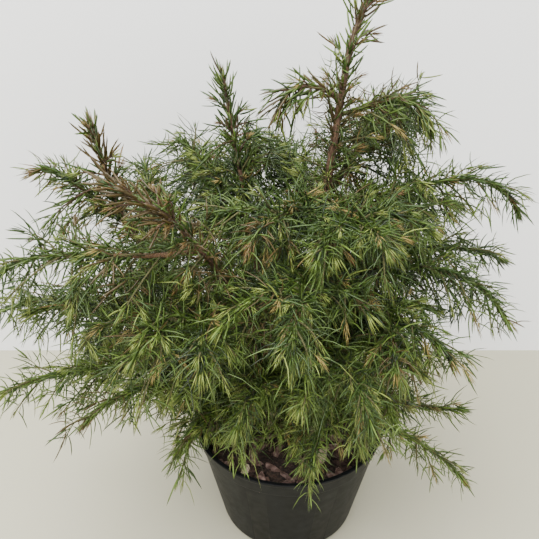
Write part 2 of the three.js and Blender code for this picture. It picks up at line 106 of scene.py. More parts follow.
# Shorter limbs, which are foliage all the way from their stem
SPRIGS = {
    "right_1": Limb("trunk", 386, 0, 98, 378, (8, 32), 38),
    "left_1": Limb("stem_left", 315, 192, 180, 358, (2, 14), 28),
    "left_7": Limb("trunk", 118, 222, 120, 140, (30, 38), 32, lowest=0),
    "leader_left": Limb("trunk", 397, 186, 12, 389, (14, 24), 15),
    "front_1": Limb("trunk", 300, 300, 112, 326, (10, 20)),
    "front_2": Limb("trunk", 268, 268, 150, 282, (10, 34), 46),
    "front_3": Limb("stem_front", 262, 232, 168, 268, (4, 24)),
    "front_4": Limb("trunk", 222, 318, 146, 240, (10, 36), 44),
    "front_5": Limb("trunk", 208, 288, 152, 222, (10, 36), 48, lowest=160),
    "front_6": Limb("trunk", 168, 252, 132, 202, (10, 36), 44, lowest=156),
    "front_7": Limb("trunk", 152, 300, 104, 154, (14, 34), 36, lowest=140),
    "front_8": Limb("trunk", 158, 335, 104, 172, (14, 30), 34, lowest=140),
    "front_9": Limb("trunk", 130, 275, 130, 150, (14, 34), 11, lowest=0),
    "front_10": Limb("trunk", 316, 252, 96, 330, (6, 14), 28),
    "back_1": Limb("stem_middle", 320, 104, 112, 332, (0, 14), 66),
    "back_2": Limb("stem_middle", 290, 144, 120, 344, (0, 20), 66),
    "back_3": Limb("trunk", 318, 42, 136, 360, (20, 36), 66),
    "back_4": Limb("trunk", 280, 92, 148, 310, (4, 30), 60),
    "back_5": Limb("stem_middle", 215, 122, 185, 300, (6, 30)),
    "back_6": Limb("stem_left", 262, 150, 146, 322, (6, 24), 50),
    "back_7": Limb("trunk", 232, 42, 185, 252, (10, 36), 50),
    "back_8": Limb("trunk", 172, 96, 190, 196, (14, 36)),
    "back_9": Limb("stem_middle", 162, 146, 205, 186, (14, 34)),
    "back_10": Limb("trunk", 134, 64, 172, 142, (20, 34)),
    "back_11": Limb("trunk", 110, 122, 175, 134, (22, 34)),
    "back_12": Limb("stem_left", 162, 172, 190, 148, (24, 36), 36),
}

# Radii of a limb at both ends, the bare share of a long one, where along it the two lifts are,
# how many rings its wood has, and the flare of the trunk's foot
LIMB_RADII = (1.9, 0.8)
BOUGH_SHARE = 0.42
BENDS_AT = (0.35, 0.8)
LIMB_RINGS = 24
FLARE = 3.6
FLARE_HEIGHT = 8
FLARE_LOBES = 4
FLARE_LOBE_SHARE = 0.35

# The source's rule for shoots: lengths, angles and radii from a limb's first shoot to its last
SHOOT_EVERY = 9
GOLDEN_ANGLE = 2.39996
BARE_SHARE = 0.2
BARE_START = 0.04
BARE_END = 5
LAST_SHOOT = 20
SHOOT_ANGLES = (0.95, 0.6)
SHOOT_UNEVEN = (0.65, 1.2)
ANGLE_UNEVEN = (0.7, 1.4)
SHOOT_OUT = 0.9
SHOOT_ALONG = 0.15
SHOOT_LIFT = 0.08
SHOOT_SAG = 0.2
SHOOT_HANG = 0.35
SHOOT_RADII = (0.85, 0.4)

# Each series of shoots: where it is numbered from, its shift along the limb as a share of the
# spacing, and how far out it goes. Those between the source's own shoots hang more.
SOURCE_SERIES = (0, 0, 1)
BETWEEN = ((500, 0.35, 0.85), (700, 0.68, 0.7))
BETWEEN_AT_BACK = BETWEEN + ((900, 0.15, 0.85),)
BETWEEN_ON_ARMS = ((500, 0.35, 0.45), (700, 0.68, 0.3))
BETWEEN_SAG = 0.42
BETWEEN_UNEVEN = (0.8, 1.7)
BETWEEN_SIZES = (0.6, 1.3)

# Limbs at the front fork twice, which fills the gaps between them: where, to which side, how long
FORKS = ((0.42, 0.2), (0.6, math.pi - 0.2))
FORK_LENGTHS = (56, 76)
FORK_ANGLE = 0.95
FORK_SAG = 0.36
FORK_RADII = (1.2, 0.5)
FORK_SPREADS = (34, 15)
FORK_BARE_SHARE = 0.15
FORK_STEPS = 40

# Short shoots along the trunk, the stems and the boughs fill the inside of the crown
INNER_RULE = dict(angles=(1.25, 0.8), every=3.2)
INNER_FROM = 140
INNER_SPREADS = (84, 28)
BOUGH_SPREADS = (44, 36)
BOUGH_BARE_SHARE = 0.12

# The same rule carried one step finer: twigs on each shoot
TWIG_EVERY = 16
TWIG_FROM = 0.2
TWIG_TO = 0.92
TWIGLESS = 22
TWIG_LENGTHS = (36, 19)
TWIG_MOST_SHARE = 0.75
TWIG_SIZES = (0.55, 1.2)
TWIG_ANGLE = 1.1
TWIG_UNEVEN = (0.6, 1.35)
TWIG_LIFT = 0.04
TWIG_SAG = 0.16
TWIG_RADII = (0.5, 0.3)
TWIG_DROP = 6

# How far shoots, twigs and needles stay from the pot and the soil, and where shoots are tested
SHOOT_MARGIN = 1.5
TWIG_MARGIN = 1.0
NEEDLE_MARGIN = 0.4
TEST_SHARES = np.linspace(0.05, 1, 8)

# Open needles: one every so many millimetres of twig, round it by the golden angle
NEEDLE_EVERY = 3.2
NEEDLE_HALF_WIDTH = 0.64
NEEDLE_FLATNESS = 0.75
NEEDLE_BENDS = (0.3, 1.1)
NEEDLE_SAG = 0.12
NEEDLE_ANGLES = (1.8, 1.35)
NEEDLE_RINGS = ((0.24, 0.95), (0.56, 1.0), (0.86, 0.8))
PLAIN_RINGS = ((0.5, 1.0),)

# How uneven the open needles are in length, lean, turn and width
NEEDLE_SIZES = (0.75, 1.2)
NEEDLE_LEANS = (0.85, 1.1)
NEEDLE_TURNS = 0.8
NEEDLE_WIDTHS = (0.85, 1.15)

# Over so many millimetres before a tip the needles lean forward and shorten, and most of the
# last ones take the tuft's tint
FORWARD_REACH = 8
FORWARD_SIZE = 0.8
LATE_REACH = 6
LATE_SHARE = 0.9

# Kinds of open needle by length, angles and half width: most of them, then those on the shoots
# of the stems' tips, of the arms, and of the lower front, where the tufts are smaller too
OPEN_NEEDLE = (19, NEEDLE_ANGLES, NEEDLE_HALF_WIDTH)
TIP_NEEDLE = (12, (1.05, 0.7), 0.95)
ARM_NEEDLE = (15, (1.55, 1.2), 0.7)
LOW_NEEDLE = (14, (1.75, 1.3), 0.6)
LOW_TUFT_SIZE = 0.78

# Needles on the limbs, on the bare boughs and high on the stems, tinted in short runs
LIMB_NEEDLE = (16, NEEDLE_ANGLES, 0.72)
LIMB_NEEDLE_EVERY = 1.1
BOUGH_NEEDLE = (15, NEEDLE_ANGLES, NEEDLE_HALF_WIDTH)
BOUGH_NEEDLE_EVERY = 2.2
BOUGH_NEEDLE_FROM = 0.1
STEM_NEEDLE = (14, NEEDLE_ANGLES, NEEDLE_HALF_WIDTH)
STEM_NEEDLE_EVERY = 1.3
STEM_NEEDLE_FROM = 235
TINT_RUN = 12

# Stout needles stand up along the leaders and the ends of the stems
STOUT_NEEDLE = (14, (1.05, 0.7), 1.05)
STOUT_EVERY = 1.7
STOUT_BEFORE = 0.1

# The leaf bases that sheathe a limb: short needles pressed along it
SHEATH_NEEDLE = (7, (0.55, 0.35), 0.7)
SHEATH_EVERY = 0.6
SHEATH_START = 0.12

# Past this share of its foliage an arm bears only each third shoot, as in the source
ARM_OPEN = 0.8
ARM_KEPT = 3

# A limb whose longest shoots are shorter than this has smaller needles
FULL_SPREAD = 20

# Tufts: short, nearly straight needles that fan forward round the tip of each shoot and twig
PALE_TWIGS = 0.5
END_TUFT_SHARE = 0.1
END_TUFT_SIZE = 1.5
TUFT_COUNT = 9
TUFT_LENGTH = 11
TUFT_MOST_SHARE = 0.6
TUFT_NEEDLE = (13, 7)
TUFT_SIZES = (0.85, 1.15)
TUFT_HALF_WIDTH = 0.42
TUFT_ANGLES = (0.42, 0.1)
TUFT_RINGS = ((0.45, 1.0),)
TUFT_BEND = 0.06
MOST_FACES = 190000

# Where the numbers of the boughs, the stems and the forks start, for chance, and how many
# numbers each shoot has for its twigs and for its needles
BOUGH_NUMBERS = 100
STEM_NUMBERS = 200
FORK_NUMBERS = 300
TWIG_NUMBERS = 32
NEEDLE_NUMBERS = 64

# How far each way along a path its direction is read, and the lean under which it is upright
TANGENT_STEP = 0.5
LEAST_LEAN = 0.05


def chance(limb, element, draw):
    """A repeatable number from 0 to 1 for each limb, element and draw, as in the source."""
    limb, element, draw = (np.asarray(x, np.int64) for x in (limb, element, draw))
    h = (limb * 374761393 + element * 668265263 + draw * 2246822519) & 0xFFFFFFFF
    h = ((h ^ (h >> 13)) * 1274126177) & 0xFFFFFFFF
    return (h ^ (h >> 16)) / 2.0 ** 32


def mix(a, b, share):
    return a + (b - a) * share


def unit(v):
    return v / np.maximum(np.linalg.norm(v, axis=-1, keepdims=True), 1e-9)


def across(direction):
    """Two directions square to each given one."""
    side = np.cross(np.array([0.0, 0.0, 1.0]), direction)
    flat = np.linalg.norm(side, axis=-1, keepdims=True) < LEAST_LEAN
    side = unit(np.where(flat, np.array([0.0, 1.0, 0.0]), side))
    return side, np.cross(direction, side)


def leaning(direction, angle, turn):
    """Directions that lean off the given ones by an angle, turned round them by another."""
    side, up = across(direction)
    angle, turn = np.asarray(angle)[..., None], np.asarray(turn)[..., None]
    return (direction * np.cos(angle) + side * np.sin(angle) * np.cos(turn)
            + up * np.sin(angle) * np.sin(turn))


class Path:
    """A curve by many points, read by the share of its length."""

    def __init__(self, points):
        self.points = points
        steps = np.linalg.norm(np.diff(points, axis=0), axis=1)
        self.reach = np.concatenate([[0], np.cumsum(steps)])
        self.length = self.reach[-1]

    def at(self, share):
        where = np.asarray(share) * self.length
        return np.stack([np.interp(where, self.reach, self.points[:, k]) for k in range(3)], -1)

    def tangent(self, share):
        step = TANGENT_STEP / self.length
        share = np.asarray(share, float)
        return unit(self.at(np.minimum(share + step, 1)) - self.at(np.maximum(share - step, 0)))

    def share_at_height(self, height):
        return np.interp(height, self.points[:, 2], self.reach / self.length)


def catmull_rom(guide, steps=80):
    guide = np.array(guide, float)
    guide = np.vstack([2 * guide[0] - guide[1], guide, 2 * guide[-1] - guide[-2]])
    t = np.linspace(0, 1, steps, endpoint=False)[:, None]
    runs = [0.5 * (2 * b + (c - a) * t + (2 * a - 5 * b + 4 * c - d) * t ** 2
                   + (3 * b - a - 3 * c + d) * t ** 3)
            for a, b, c, d in zip(guide, guide[1:], guide[2:], guide[3:])]
    return Path(np.vstack(runs + [guide[-2:-1]]))


def bezier(a, b, c, d, steps=200):
    t = np.linspace(0, 1, steps)[:, None]
    return Path((1 - t) ** 3 * a + 3 * (1 - t) ** 2 * t * b + 3 * (1 - t) * t ** 2 * c
                + t ** 3 * d)


# Stems, boughs and the stem of each mass of foliage

stems = {}
masses = []


def add_mass(name, path, start, radii, spread, on_stem, lowest=LOWEST_SHOOT):
    masses.append(dict(index=len(masses), name=name, path=path, start=start, radii=radii,
                       spread=spread, on_stem=on_stem, lowest=lowest))


for stem_name, stem in STEMS.items():
    stem_path = catmull_rom(stem["guide"])
    wood = float(stem_path.share_at_height(stem["wood_top"]))
    stems[stem_name] = dict(path=stem_path, wood=wood, radii=stem["radii"])
    add_mass(stem["tip"], stem_path, wood, stem["radii"], stem["spread"], False)

for limb_name, limb in {**BOUGHS, **SPRIGS}.items():
    stem_path = stems[limb.on]["path"]
    root = stem_path.at(stem_path.share_at_height(limb.at))
    turn = math.radians(limb.angle)
    tip = np.array([limb.reach * math.cos(turn), limb.reach * math.sin(turn), limb.tip])
    bends = [root + (tip - root) * share + np.array([0, 0, lift])
             for share, lift in zip(BENDS_AT, limb.lift)]
    start = BOUGH_SHARE if limb_name in BOUGHS else 0.0
    add_mass("foliage_" + limb_name, bezier(root, *bends, tip), start, LIMB_RADII, limb.spread,
             limb_name in SPRIGS, limb.lowest)


def wall_radius(height):
    return mix(POT_BASE_RADIUS, POT_RIM_RADIUS, height / POT_HEIGHT)


def clears_pot(points, margin):
    """Whether each point is out of the pot's wall and above the soil and the floor."""
    reach = np.hypot(points[..., 0], points[..., 1])
    height = points[..., 2]
    wall = wall_radius(height)
    inside = (reach < wall - POT_WALL - margin) & (height > SOIL_TOP + margin)
    outside = (reach > wall + COLLAR_STEP + LIP_STEP + margin) & (height > margin)
    return (height > POT_HEIGHT + margin) | inside | outside


def curve_points(curve, share):
    """Points on quadratic curves given as (foot, bend, tip)."""
    foot, bend, tip = curve
    share = np.asarray(share)[..., None]
    return (1 - share) ** 2 * foot + 2 * (1 - share) * share * bend + share ** 2 * tip


def curve_tangents(curve, share):
    foot, bend, tip = curve
    share = np.asarray(share)[..., None]
    return unit((1 - share) * (bend - foot) + share * (tip - bend))


def grow(foot, tangent, length, angle, turn, lift, sag):
    """Quadratic curves that leave a limb at an angle, arch along it and hang at their tips."""
    direction = leaning(tangent, angle, turn)
    length = length[:, None]
    tip = foot + direction * length * SHOOT_OUT + tangent * length * SHOOT_ALONG
    tip[:, 2] -= length[:, 0] * sag
    bend = foot + direction * length / 2
    bend[:, 2] += length[:, 0] * lift
    return foot, bend, tip


def kept(curve, mask):
    return tuple(part[mask] for part in curve)


def clear_of_pot(curve, margin):
    """Which curves clear the pot and the soil all along but at their feet."""
    return np.all([clears_pot(curve_points(curve, share), margin) for share in TEST_SHARES], axis=0)


def shoots_along(index, path, first, last, spreads, lowest=LOWEST_SHOOT, angles=SHOOT_ANGLES,
                 every=SHOOT_EVERY, between=SOURCE_SERIES, open_from=1):
    """Shoots along a limb by the source's rule: curves, lengths and numbers."""
    series, shift, until = between
    n = np.arange(int((last - first) * path.length / every) + 1)
    share = first + (n + shift) * every / path.length
    outward = (share - first) / (last - first)
    wanted = (outward < until) & ((outward < open_from) | (n % ARM_KEPT == 1))
    n, share, outward = n[wanted], share[wanted], outward[wanted]
    length = mix(*spreads, outward) * mix(*SHOOT_UNEVEN, chance(index, n + series, 1))
    angle = mix(*angles, outward) * mix(*ANGLE_UNEVEN, chance(index, n + series, 2))
    turn = n * GOLDEN_ANGLE + index + chance(index, n + series, 3)
    if series:
        turn = turn + math.pi * shift * 2
        length = length * mix(*BETWEEN_SIZES, chance(index, n + series, 5))
        angle = angle * mix(*BETWEEN_UNEVEN, chance(index, n + series, 4))
    tangent = path.tangent(share)
    length = length * (1 - SHOOT_HANG * leaning(tangent, angle, turn)[:, 2])
    curve = grow(path.at(share), tangent, length, angle, turn, SHOOT_LIFT,
                 BETWEEN_SAG if series else SHOOT_SAG)
    free = clear_of_pot(curve, SHOOT_MARGIN) & (curve[2][:, 2] > lowest)
    return kept(curve, free), length[free], n[free] + series


def steps_of(counts):
    """0, 1, 2 and so on up to each count, one run after another."""
    return np.arange(counts.sum()) - np.repeat(np.cumsum(counts) - counts, counts)


def twigs_of(index, curve, length, n, lowest):
    """Finer twigs on each shoot."""
    counts = ((TWIG_TO - TWIG_FROM) * length / TWIG_EVERY).astype(int)
    counts[length < TWIGLESS] = 0
    owner = np.repeat(np.arange(len(n)), counts)
    step = steps_of(counts)
    share = mix(TWIG_FROM, TWIG_TO, (step + 0.5) / counts[owner])
    element = n[owner] * TWIG_NUMBERS + step
    size = np.minimum(mix(*TWIG_LENGTHS, share), length[owner] * TWIG_MOST_SHARE)
    size = size * mix(*TWIG_SIZES, chance(index, element, 21))
    angle = TWIG_ANGLE * mix(*TWIG_UNEVEN, chance(index, element, 22))
    turn = step * GOLDEN_ANGLE + n[owner] + chance(index, element, 23)
    axis = kept(curve, owner)
    twigs = grow(curve_points(axis, share), curve_tangents(axis, share), size, angle, turn,
                 TWIG_LIFT, TWIG_SAG)
    free = clear_of_pot(twigs, TWIG_MARGIN) & (twigs[2][:, 2] > lowest - TWIG_DROP)
    return kept(twigs, free), size[free], element[free]


# Tints, dealt out by spray, with painted shade towards the crown's middle and painted front light in
# its lower front

TINTS = {
    # A dark green dealt out mostly towards the crown's middle: painted shade
    "deep": (0.013, 0.025, 0.006),
    "green": (0.029, 0.056, 0.008),
    "mid": (0.055, 0.091, 0.013),
    # The pale young green, also dealt out in the lower front as painted front light
    "fresh": (0.092, 0.142, 0.020),
    "light": (0.172, 0.212, 0.042),
    "straw": (0.235, 0.178, 0.052),
    "bronze": (0.122, 0.074, 0.022),
    "rust": (0.062, 0.042, 0.012),
}
TINT_NAMES = list(TINTS)
CROWN_CENTRE = np.array([-20.0, -5.0, 235.0])
CROWN_HALF = np.array([215.0, 185.0, 200.0])
MOST_OUT = 1.2
LEAST_BRONZE = 0.02
MOST_BRONZE = 0.8
# Where the lower front of the crown is painted paler, standing in for front light
LOW_UNDER = 240
LOW_WITHIN = 90
FRONT_BEFORE = 40
FRONT_WITHIN = 80
BRONZE_SPOTS = [((42, 1, 440), 60), ((-142, -30, 390), 40), ((-52, 41, 398), 30),
                ((-100, -106, 362), 45), ((24, 0, 350), 34), ((-62, -104, 335), 34),
                ((-150, -75, 300), 22), ((-165, -95, 185), 18)]
STRAW_SPOTS = [((-76, -112, 282), 16), ((-18, -130, 300), 14), ((-116, -92, 262), 14)]


def near_spots(points, spots):
    """From 1 at the middle of each spot, given with its size, down to 0 away from them all."""
    share = np.zeros(len(points))
    for centre, size in spots:
        distance = np.linalg.norm(points - np.array(centre), axis=1) / size
        share = np.maximum(share, np.exp(-distance ** 2))
    return share


def bronze_share(points):
    """How likely a spray is to be bronze: high near the leaders and a few young tips."""
    return np.maximum(LEAST_BRONZE, MOST_BRONZE * near_spots(points, BRONZE_SPOTS))


def outness(points):
    """From 0 at the crown's middle to about 1 at its outside."""
    return np.linalg.norm((points - CROWN_CENTRE) / CROWN_HALF, axis=1).clip(0, MOST_OUT)


def front_light_share(points):
    """High in the lower front of the crown, where the needles are painted paler to stand in for front
    light.
    """
    low = np.clip((LOW_UNDER - points[:, 2]) / LOW_WITHIN, 0, 1)
    return low * np.clip((FRONT_BEFORE - points[:, 1]) / FRONT_WITHIN, 0, 1)


def pick(draw, weights):
    """A tint number for each draw, by weights given as {tint: share per point}."""
    names = list(weights)
    table = np.stack([np.broadcast_to(weights[name], draw.shape) for name in names])
    edges = np.cumsum(table, axis=0) / table.sum(axis=0)
    choice = (draw[None] > edges).sum(axis=0).clip(0, len(names) - 1)
    return np.array([TINT_NAMES.index(name) for name in names])[choice]


def body_tints(points, draw):
    out = outness(points)
    bronze = bronze_share(points)
    return pick(draw, {
        # Painted shade: the dark tint grows more common towards the crown's middle, and the mid tint
        # towards its outside
        "deep": (0.8 - out).clip(0.02, 1),
        "green": 0.8,
        "mid": (out * 1.2).clip(0.2, 1.4),
        # Painted light: the pale young green is dealt out more in the lower front, standing in for
        # front light
        "fresh": 0.15 + front_light_share(points) * 2.2,
        "rust": bronze * 2.0,
    })


def brush_tints(points, draw):
    out = outness(points)
    bronze = bronze_share(points)
    return pick(draw, {
        # Painted shade: tufts towards the crown's middle take the darker mid tint more often
        "mid": (1.2 - out).clip(0.15, 1),
        "light": 1.0,
        "straw": out * 0.32 + near_spots(points, STRAW_SPOTS) * 4,
        "bronze": bronze * 2.4,
    })


# Meshes

def corner_angles(sides):
    return np.arange(sides) * 2 * math.pi / sides


def places(x, y, z):
    return np.stack(np.broadcast_arrays(x, y, z), -1)


def triangles(a, b, c):
    """Triangles between corners given by number, singly or as arrays."""
    return places(a, b, c).reshape(-1, 3)


def wall_faces(rings, sides):
    """Triangles between rings of corners that are numbered one ring after another."""
    k = np.arange(sides)
    after = (k + 1) % sides
    low = (np.arange(rings - 1) * sides)[:, None]
    return np.concatenate([triangles(low + k, low + after, low + sides + after),
                           triangles(low + k, low + sides + after, low + sides + k)])


def tube_faces(rings, sides):
    """The wall of a tube, and a fan over each of its ends."""
    fan = np.arange(1, sides - 1)
    top = (rings - 1) * sides
    return np.concatenate([wall_faces(rings, sides), triangles(0, fan + 1, fan),
                           triangles(top, top + fan, top + fan + 1)])


def turned_faces(rings, sides):
    """The wall of a turned shape, closed to two middle points that are numbered last."""
    k = np.arange(sides)
    after = (k + 1) % sides
    top = (rings - 1) * sides
    middle = rings * sides
    return np.concatenate([wall_faces(rings, sides), triangles(middle, after, k),
                           triangles(middle + 1, top + k, top + after)])


def repeated(faces, count, corners):
    """The faces of many like shapes that have so many corners each."""
    faces = np.asarray(faces)[None] + (np.arange(count) * corners)[:, None, None]
    return faces.reshape(-1, 3)


def tube_points(paths, tangent, radii):
    """Corners round paths and tangents as (tubes, rings, 3) by radii as (tubes, rings, sides)."""
    reference = np.eye(3)[np.abs(tangent).max(axis=1).argmin(axis=1)][:, None, :]
    side = unit(reference - (reference * tangent).sum(-1, keepdims=True) * tangent)
    up = np.cross(tangent, side)
    turn = corner_angles(radii.shape[-1])[:, None]
    ring = side[:, :, None] * np.cos(turn) + up[:, :, None] * np.sin(turn)
    return (paths[:, :, None] + ring * radii[..., None]).reshape(-1, 3)


def tubes(paths, radii, sides):
    """Closed tapering tubes: paths is (tubes, rings, 3), radii is (tubes, rings)."""
    count, rings = radii.shape
    tangent = unit(np.gradient(paths, axis=1))
    points = tube_points(paths, tangent, np.repeat(radii[..., None], sides, -1))
    return points, repeated(tube_faces(rings, sides), count, rings * sides)


def joined(meshes):
    points, faces, used = [], [], 0
    for p, f in meshes:
        points.append(p)
        faces.append(f + used)
        used += len(p)
    return np.concatenate(points), np.concatenate(faces)


def needles(rings, foot, tangent, length, angle, turn, width, bend):
    """Needles that lean off their twigs and arch forward, with three flattened sides that are
    drawn to a point at both ends and have a section at each ring."""
    direction = leaning(tangent, angle, turn)
    side = unit(np.cross(direction, tangent))
    up = np.cross(side, direction)
    pull = tangent * bend[:, None] + np.array([0.0, 0.0, -NEEDLE_SAG])

    def middle(share):
        return foot + length[:, None] * (direction * share + pull * share ** 2)

    points = [foot]
    for share, size in rings:
        centre, half_width = middle(share), (width * size)[:, None]
        points += [centre + (side * math.cos(a) + up * math.sin(a) * NEEDLE_FLATNESS) * half_width
                   for a in math.pi / 2 + corner_angles(3)]
    points = np.stack(points + [middle(1.0)], 1)
    last = 3 * len(rings) - 2
    one = [[0, 2, 1], [0, 3, 2], [0, 1, 3]]
    for low in range(1, last, 3):
        for a, b in ((0, 1), (1, 2), (2, 0)):
            one += [[low + a, low + b, low + 3 + b], [low + a, low + 3 + b, low + 3 + a]]
    one += [[last, last + 1, last + 3], [last + 1, last + 2, last + 3], [last + 2, last, last + 3]]
    return points.reshape(-1, 3), repeated(one, len(foot), points.shape[1])


def add_object(name, data):
    thing = bpy.data.objects.new(name, data)
    bpy.context.scene.collection.objects.link(thing)
    return thing


def make_piece(name, points, faces, material, smooth=True):
    mesh = bpy.data.meshes.new(name)
    mesh.vertices.add(len(points))
    mesh.vertices.foreach_set("co", (points * MM).astype(np.float32).ravel())
    mesh.loops.add(faces.size)
    mesh.loops.foreach_set("vertex_index", faces.astype(np.int32).ravel())
    mesh.polygons.add(len(faces))
    mesh.polygons.foreach_set("loop_start", np.arange(0, faces.size, faces.shape[1], dtype=np.int32))
    mesh.polygons.foreach_set("use_smooth", np.full(len(faces), smooth))
    mesh.update(calc_edges=True)
    mesh.validate()
    mesh.materials.append(material)
    piece = add_object(name, mesh)
    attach(piece, BODY)
    return piece


# Materials

def new_material(name, color, roughness):
    material = bpy.data.materials.new(name)
    material.use_nodes = True
    shader = material.node_tree.nodes["Principled BSDF"]
    shader.inputs["Base Color"].default_value = (*color, 1)
    shader.inputs["Roughness"].default_value = roughness
    return material, material.node_tree, shader


def link(tree, node, output, other, socket):
    tree.links.new(node.outputs[output], other.inputs[socket])


def noise(tree, scale, detail, stretch=(1, 1, 1)):
    """Noise by place on the object, in units of 1 / metre."""
    place = tree.nodes.new("ShaderNodeTexCoord")
    mapping = tree.nodes.new("ShaderNodeMapping")
    mapping.inputs["Scale"].default_value = stretch
    link(tree, place, "Object", mapping, "Vector")
    texture = tree.nodes.new("ShaderNodeTexNoise")
    texture.inputs["Scale"].default_value = scale
    texture.inputs["Detail"].default_value = detail
    link(tree, mapping, "Vector", texture, "Vector")
    return texture


def color_by(tree, shader, texture, stops):
    """Base colour from a texture, by stops given as (position, colour)."""
    node = tree.nodes.new("ShaderNodeValToRGB")
    elements = node.color_ramp.elements
    while len(elements) < len(stops):
        elements.new(0.5)
    for element, (position, color) in zip(elements, stops):
        element.position = position
        element.color = (*color, 1)
    link(tree, texture, "Fac", node, "Fac")
    link(tree, node, "Color", shader, "Base Color")


def bump(tree, shader, texture, strength, distance):
    node = tree.nodes.new("ShaderNodeBump")
    node.inputs["Strength"].default_value = strength
    node.inputs["Distance"].default_value = distance
    link(tree, texture, "Fac", node, "Height")
    link(tree, node, "Normal", shader, "Normal")


def scaled(color, factor):
    return tuple(min(c * factor, 1) for c in color)


def needle_material(tint):
    color = TINTS[tint]
    material, tree, shader = new_material("needle_" + tint, color, roughness=0.42)
    color_by(tree, shader, noise(tree, scale=60, detail=2),
             [(0.3, scaled(color, 0.72)), (0.5, color), (0.7, scaled(color, 1.3))])
    shader.inputs["Specular IOR Level"].default_value = 0.42
    return material


def bark_material(name, dark, light, scale):
    material, tree, shader = new_material(name, dark, roughness=0.85)
    texture = noise(tree, scale, detail=5, stretch=(1, 1, 0.25))
    color_by(tree, shader, texture, [(0.3, scaled(dark, 0.55)), (0.48, dark), (0.7, light)])
    bump(tree, shader, texture, strength=0.6, distance=0.0006)
    return material


def pot_material():
    material, tree, shader = new_material("black_plastic", (0.0042, 0.0048, 0.0052), roughness=0.5)
    color_by(tree, shader, noise(tree, scale=55, detail=6, stretch=(1, 1, 0.3)),
             [(0.35, (0.0035, 0.0039, 0.0042)), (0.6, (0.0048, 0.0054, 0.0058)),
              (0.8, (0.010, 0.011, 0.0115))])
    gloss = noise(tree, scale=140, detail=5)
    spread = tree.nodes.new("ShaderNodeMapRange")
    spread.inputs["To Min"].default_value = 0.38
    spread.inputs["To Max"].default_value = 0.62
    link(tree, gloss, "Fac", spread, "Value")
    link(tree, spread, "Result", shader, "Roughness")
    shader.inputs["Specular IOR Level"].default_value = 0.14
    bump(tree, shader, noise(tree, scale=2600, detail=2), strength=0.12, distance=0.0002)
    return material


def ground_material(name, dark, light, scale, depth):
    material, tree, shader = new_material(name, dark, roughness=0.95)
    texture = noise(tree, scale, detail=6)
    color_by(tree, shader, texture, [(0.32, scaled(dark, 0.5)), (0.5, dark), (0.72, light)])
    bump(tree, shader, texture, strength=0.8, distance=depth)
    return material


# Pot: how its foot and collar are bevelled, and how much of a side a rounded corner may take

FOOT_BEVEL = (3.6, 4)
COLLAR_BEVEL = 0.6
POT_ROUNDING = 0.9
ROUNDED_SHARE = 1 / 2.2
POT_SIDES = 192


def lathe(profile, sides):
    """A closed turned shape from (radius, height) points that start and end on the axis."""
    turn = corner_angles(sides)
    rings = [places(r * np.cos(turn), r * np.sin(turn), z) for r, z in profile[1:-1]]
    middles = [[0, 0, profile[0][1]], [0, 0, profile[-1][1]]]
    return np.concatenate(rings + [middles]), turned_faces(len(rings), sides)


def rounded(profile, radius, steps=4):
    """The profile with each inner corner rounded by a short curve."""
    out = [profile[0]]
    for before, corner, after in zip(profile, profile[1:], profile[2:]):
        corner = np.array(corner, float)
        a, b = (corner + unit(end - corner) * min(radius, np.linalg.norm(end - corner) * ROUNDED_SHARE)
                for end in (np.array(before, float), np.array(after, float)))
        for t in np.linspace(0, 1, steps):
            out.append(tuple((1 - t) ** 2 * a + 2 * (1 - t) * t * corner + t * t * b))
    return out + [profile[-1]]


def slot_cutter():
    """Blocks that cut the drain slots round the pot's foot."""
    shape = bmesh.new()
    block = (Matrix.Translation((POT_BASE_RADIUS * MM, 0, 0))
             @ Matrix.Diagonal((SLOT_REACH * MM, SLOT_WIDTH * MM, 2 * SLOT_HEIGHT * MM, 1)))
    for i in range(SLOT_COUNT):
        turn = Matrix.Rotation(2 * math.pi * (i + 0.5) / SLOT_COUNT, 4, "Z")
        bmesh.ops.create_cube(shape, size=1, matrix=turn @ block)
    mesh = bpy.data.meshes.new("slot_cutter")
    shape.to_mesh(mesh)
    shape.free()
    return add_object("slot_cutter", mesh)


def make_pot():
    collar_foot = POT_HEIGHT - COLLAR_HEIGHT
    lip_foot = POT_HEIGHT - LIP_HEIGHT
    bevel_width, bevel_height = FOOT_BEVEL
    wall = wall_radius
    profile = rounded([
        (0, 0), (wall(0) - bevel_width, 0), (wall(bevel_height), bevel_height),
        (wall(collar_foot), collar_foot), (wall(collar_foot) + COLLAR_STEP, collar_foot + COLLAR_BEVEL),
        (wall(lip_foot) + COLLAR_STEP, lip_foot), (wall(lip_foot) + COLLAR_STEP + LIP_STEP, lip_foot),
        (wall(POT_HEIGHT) + COLLAR_STEP + LIP_STEP, POT_HEIGHT),
        (wall(POT_HEIGHT) - POT_WALL, POT_HEIGHT),
        (wall(POT_FLOOR) - POT_WALL, POT_FLOOR), (0, POT_FLOOR)], POT_ROUNDING)
    points, faces = lathe(profile, POT_SIDES)
    pot = make_piece("pot_shell", points, faces, pot_material())
    cutter = slot_cutter()
    cut = pot.modifiers.new("slots", "BOOLEAN")
    cut.operation = "DIFFERENCE"
    cut.object = cutter
    cut.solver = "EXACT"
    evaluated = pot.evaluated_get(bpy.context.evaluated_depsgraph_get())
    pot.data = bpy.data.meshes.new_from_object(evaluated)
    pot.modifiers.clear()
    bpy.data.objects.remove(cutter)
    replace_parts(pot, "pot")


make_pot()

# Soil: rings that crowd towards its edge, a mound that starts to fall and lumps that start to
# rise at some distance from the trunk, and fine grain

SOIL_RINGS = 70
SOIL_SIDES = 220
SOIL_CROWDING = 0.8
SOIL_GAP = 0.4
SOIL_FOOT_GAP = 0.5
SOIL_FOOT_LIFT = 0.4
MOUND_RADIUS = 22
LUMPS_FROM = 9
LUMPS_WITHIN = 12
GRAIN = 0.35
GRAIN_FROM = 0.6
GRAIN_WITHIN = 14
GRAIN_SEED = 11


